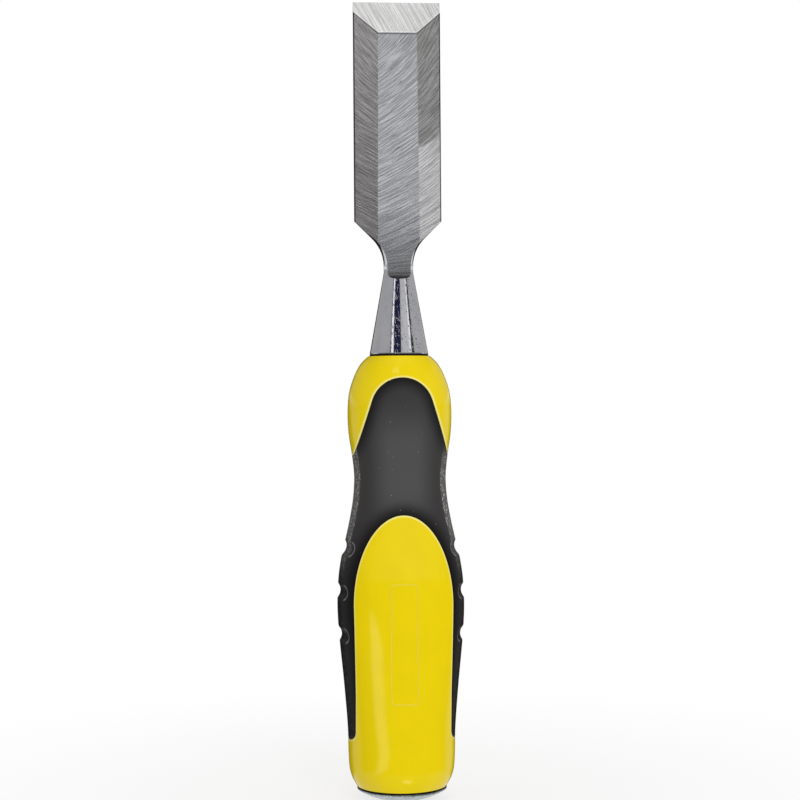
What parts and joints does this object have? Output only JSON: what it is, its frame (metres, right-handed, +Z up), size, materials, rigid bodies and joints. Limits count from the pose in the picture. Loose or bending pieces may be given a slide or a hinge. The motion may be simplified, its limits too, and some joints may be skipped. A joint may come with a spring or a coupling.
{
  "type": "bench chisel",
  "caption": "Bevel-edge wood chisel with a conical bolster, a hard and soft moulded handle with finger grooves, and a domed steel strike cap.",
  "frame": {"origin": "on the tool's axis at the crown of the strike cap, which is the lowest point as it stands", "axes": "+Z up the tool's axis to the cutting edge, X across the blade, -Y out of the ground front of the blade, +Y out of its flat back"},
  "size_m": [0.0368, 0.0306, 0.232],
  "materials": {
    "blade_steel": "ground faces, polished bolster",
    "washer_rubber": "matte",
    "sleeve_nylon": "matte",
    "yellow_plastic": "gloss",
    "grip_rubber": "satin front, stippled sides",
    "ring_rubber": "matte",
    "cap_steel": "dull, mottled"
  },
  "bodies": {
    "root": {"blade": "blade_steel", "bolster_washer": "washer_rubber", "tang_sleeve": "sleeve_nylon", "handle_body": "yellow_plastic", "rubber_grip": "grip_rubber", "cap_ring": "ring_rubber", "strike_cap": "cap_steel"}
  },
  "joints": []
}
